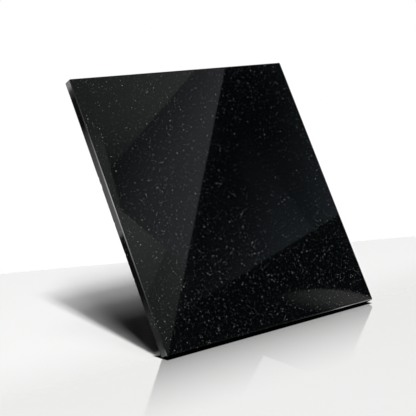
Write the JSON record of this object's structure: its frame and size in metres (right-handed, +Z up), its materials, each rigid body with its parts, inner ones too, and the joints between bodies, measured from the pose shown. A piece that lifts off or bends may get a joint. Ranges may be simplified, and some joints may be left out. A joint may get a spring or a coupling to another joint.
{
  "type": "granite slab",
  "caption": "Square slab of polished black granite with light flecks: a hard, flat base for stamping, carving and skiving leather.",
  "frame": {"origin": "centre of the sawn underside, on the surface that the slab lies on", "axes": "+Z up out of the polished working face; X and Y along the slab's edges"},
  "size_m": [0.3048, 0.3048, 0.0095],
  "materials": {
    "black_granite": "mirror-polished face, arris and sides with small bronze and silver crystal flecks; matt sawn underside"
  },
  "bodies": {
    "root": {"granite_slab": "black_granite"}
  },
  "joints": []
}
